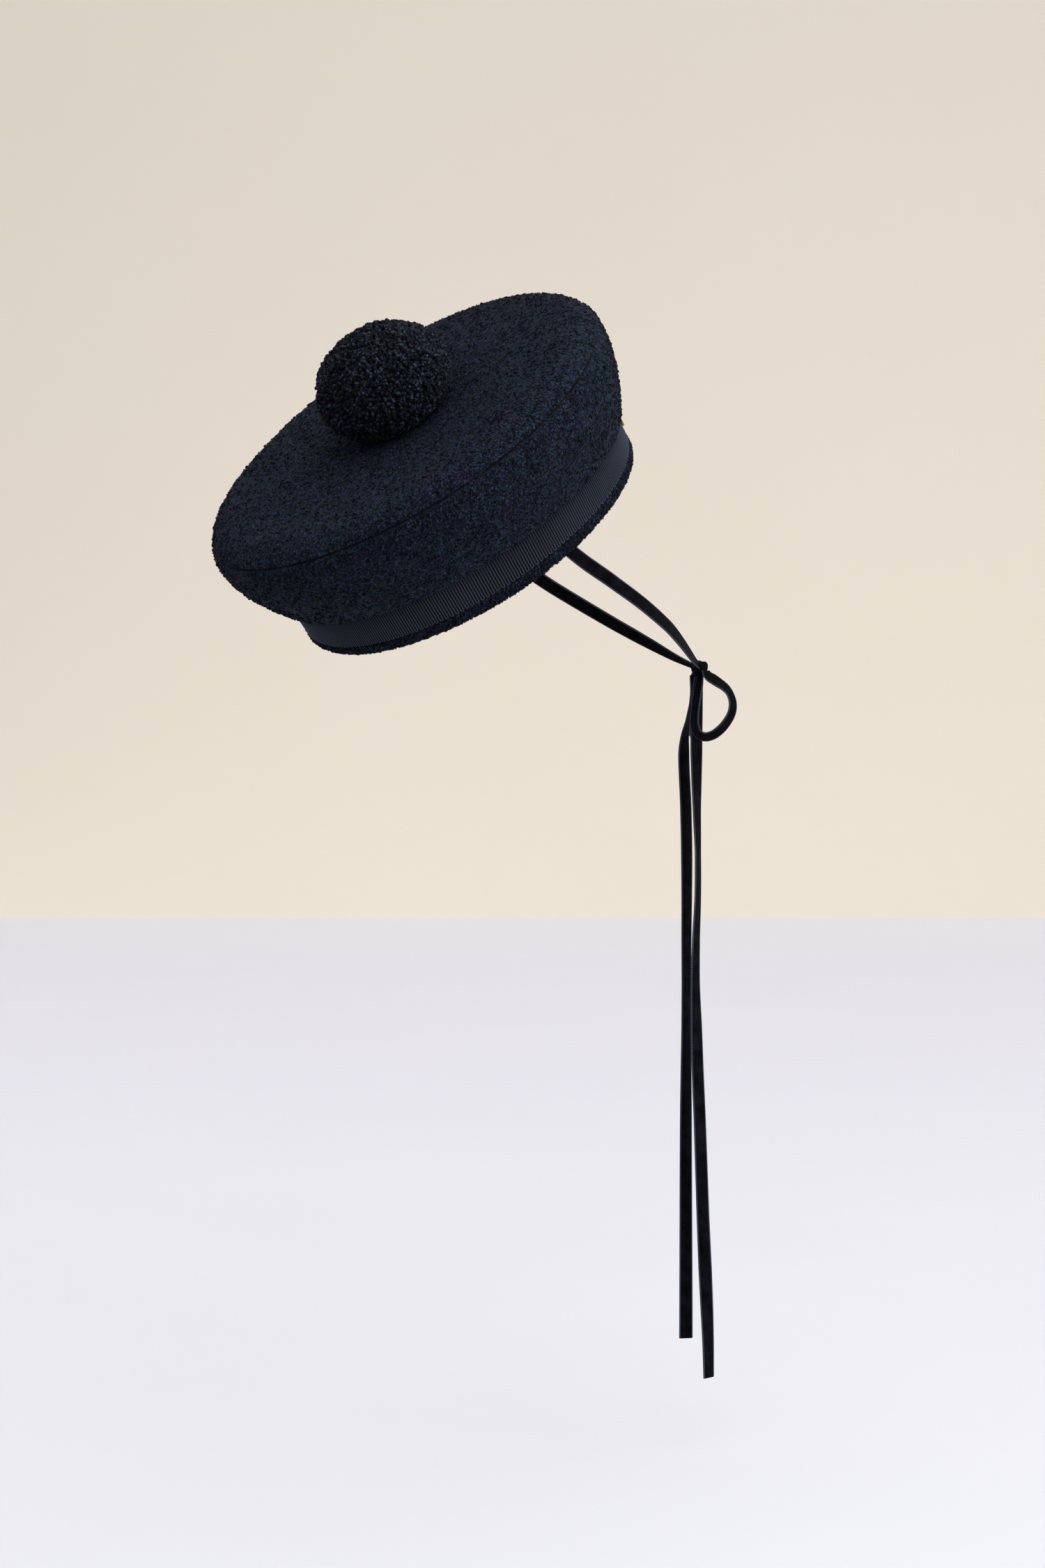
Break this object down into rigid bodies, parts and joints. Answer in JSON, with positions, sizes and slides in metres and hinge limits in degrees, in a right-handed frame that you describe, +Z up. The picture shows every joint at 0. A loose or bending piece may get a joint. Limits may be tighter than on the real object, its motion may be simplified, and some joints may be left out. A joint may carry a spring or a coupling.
{
  "type": "sailor hat",
  "caption": "Tipped wool sailor hat: soft overhanging crown, ribbed ribbon band, yarn pompom, plain gilt bar and narrow velvet ties knotted in a bow below it.",
  "frame": {"origin": "centre of the head opening, in the plane of the headband's lower edge, whose soft roll droops up to 2 mm below it on the wearer's right", "axes": "+X wearer's front, +Y wearer's left, +Z up; the hat itself leans 35.8 degrees back and 14.9 degrees to the wearer's right of these axes, and its ties hang along -Z"},
  "size_m": [0.2939, 0.2182, 0.6148],
  "materials": {
    "boucle_wool": "matt looped wool cloth",
    "grosgrain": "ribbed, faint sheen",
    "pompom_yarn": "matt cut yarn",
    "gilt_metal": "polished gilt",
    "velvet": "short pile, faint sheen"
  },
  "bodies": {
    "root": {"headband": "boucle_wool", "grosgrain_band": "grosgrain", "crown_side": "boucle_wool", "crown_top": "boucle_wool", "pompom": "pompom_yarn", "front_bar": "gilt_metal", "tie_right": "velvet", "tie_left": "velvet", "bow_knot": "velvet", "bow_loop_right": "velvet", "bow_loop_left": "velvet", "tail_right": "velvet", "tail_left": "velvet"}
  },
  "joints": []
}
